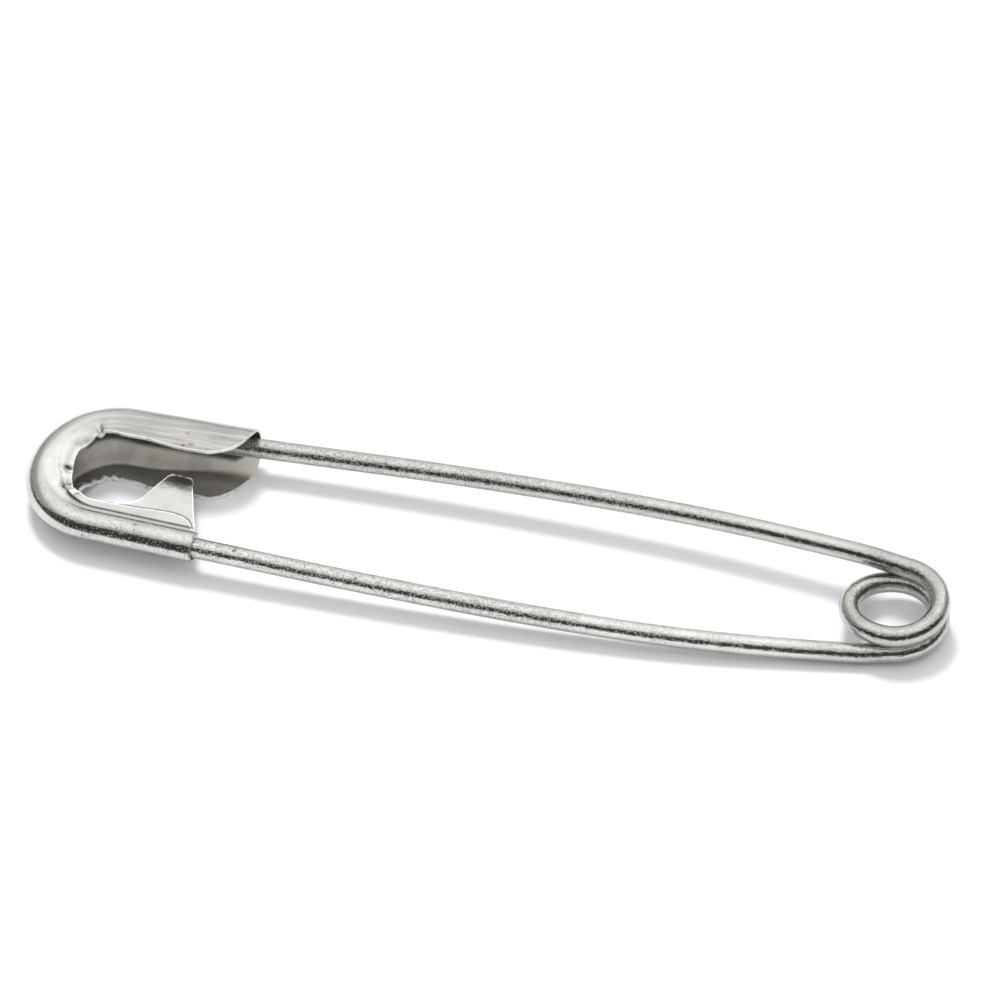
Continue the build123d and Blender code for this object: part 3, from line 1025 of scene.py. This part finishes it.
# %% Ceiling
front = (0.286, -0.958, 0.0)
window_way = (0.36, 0.70, 0.617)
world = bpy.data.worlds.new("room")
bpy.context.scene.world = world
graph = Graph(world)
looking = graph.node("TexCoord", out="Generated")
upward, facing = graph.axis(looking, 2), graph.facing(looking, front)
window = graph.facing(looking, window_way)
sideways = graph.node("Math", {0: graph.axis(looking, 0) + 0.1}, operation="ABSOLUTE")
high, behind = upward.step(0.5, 0.8), 1 - facing.step(-0.45, 0.5)
ceiling = 0.42 + 0.54 * upward.step(0.02, 0.34) + 0.28 * high * behind
ceiling = ceiling + 0.45 * window.step(0.925, 0.985) + 0.25 * upward.step(0.80, 0.95)
overhead = ceiling - 0.22 * facing.step(0.0, 0.6)
overhead = overhead * (1 - 0.5 * sideways.step(0.32, 0.62) * (1 - high))
pale_room = graph.node("CombineColor", {0: overhead, 1: overhead, 2: overhead * 1.01})
print("ceiling made of", len(graph.tree.nodes), "nodes")

# %% Dark band
band_top = 0.20 + 0.53 * facing.step(-0.25, 0.35)
band = upward.step(-0.06, -0.005) * (1 - (upward - band_top).step(-0.05, 0.05))
shade = 0.40 - 0.345 * facing.step(-0.80, -0.25)
dim_room = graph.node("CombineColor", {0: shade, 1: shade * 0.98, 2: shade * 0.93})
room = {"Color": graph.mix(band, pale_room, dim_room), "Strength": 1.0}
graph.node("OutputWorld", {"Surface": graph.node("Background", room)})
print("room made of", len(graph.tree.nodes), "nodes")

# %% [markdown]
# ## Lamps
# The room alone gives only a faint shadow. A square key lamp, behind and to the left, puts a
# soft one in front of each arm, and a weak fill on the front side keeps it from going black. A
# sun lamp's shadow would be equally sharp near and far from what casts it. Neither lamp shows in
# the metal, because the room is already what it mirrors.


# %% Lamps
def lamp(name, place, size, power):
    """A soft square lamp at a place in metres, turned to face the middle of the pin."""
    data = bpy.data.lights.new(name, "AREA")
    data.shape = "SQUARE"
    data.size = size
    data.energy = power
    made = bpy.data.objects.new(name, data)
    made.location = place
    made.rotation_euler = (-Vector(place)).to_track_quat("-Z", "Y").to_euler()
    made.visible_glossy = False
    bpy.context.scene.collection.objects.link(made)
    print(name, size, "m wide at", round(Vector(place).length, 2), "m")


lamp("key_lamp", (-0.2, 0.40, 0.75), 0.22, 5.1)
lamp("fill_lamp", (0.124, -0.415, 0.339), 0.25, 0.9)

# %% [markdown]
# ## Camera
# The camera stands where the photograph was taken from. It could be set by eye, but a small pin
# seen from so near shows every degree. So three angles and a distance say where it is, and the
# pixel where the coil's middle has to land says how far it is slid sideways and up. The lens is
# long, so the pin keeps nearly the same scale from end to end.

# %% Where the camera stands
# Tilt and roll are in radians, the distance is in millimetres, and focal is in pixels.
yaw, tilt, roll = math.radians(16.6), 0.7409, -0.02949
distance, focal = 517.77, 5000.0
image_width = 1000
coil_pixel = np.array([894.37, 607.59])
right = np.array([math.cos(yaw), math.sin(yaw), 0])
level = np.array([-math.sin(yaw), math.cos(yaw), 0])
ahead = level * math.cos(tilt) - np.array([0, 0, math.sin(tilt)])
above = np.cross(right, ahead)
turned_right = math.cos(roll) * right + math.sin(roll) * above
turned_up = math.cos(roll) * above - math.sin(roll) * right
off = (coil_pixel - image_width / 2) * distance / focal
aim = np.array([hinge[0], hinge[1], cap_mid])
eye = aim - off[0] * turned_right + off[1] * turned_up - distance * ahead
print("camera at", eye.round(1), "mm")

# %% Camera
sensor = 36
camera_data = bpy.data.cameras.new("camera")
camera_data.lens = focal / image_width * sensor
camera_data.sensor_width = sensor
camera_data.clip_start = 0.01
camera = bpy.data.objects.new("camera", camera_data)
pose = np.eye(4)
pose[:3, :3] = np.stack([turned_right, turned_up, -ahead], 1)
pose[:3, 3] = eye * mm
camera.matrix_world = Matrix(pose.tolist())
bpy.context.scene.collection.objects.link(camera)
bpy.context.scene.camera = camera
bpy.context.scene.view_settings.view_transform = "Standard"
print("lens", round(camera_data.lens, 1), "mm")
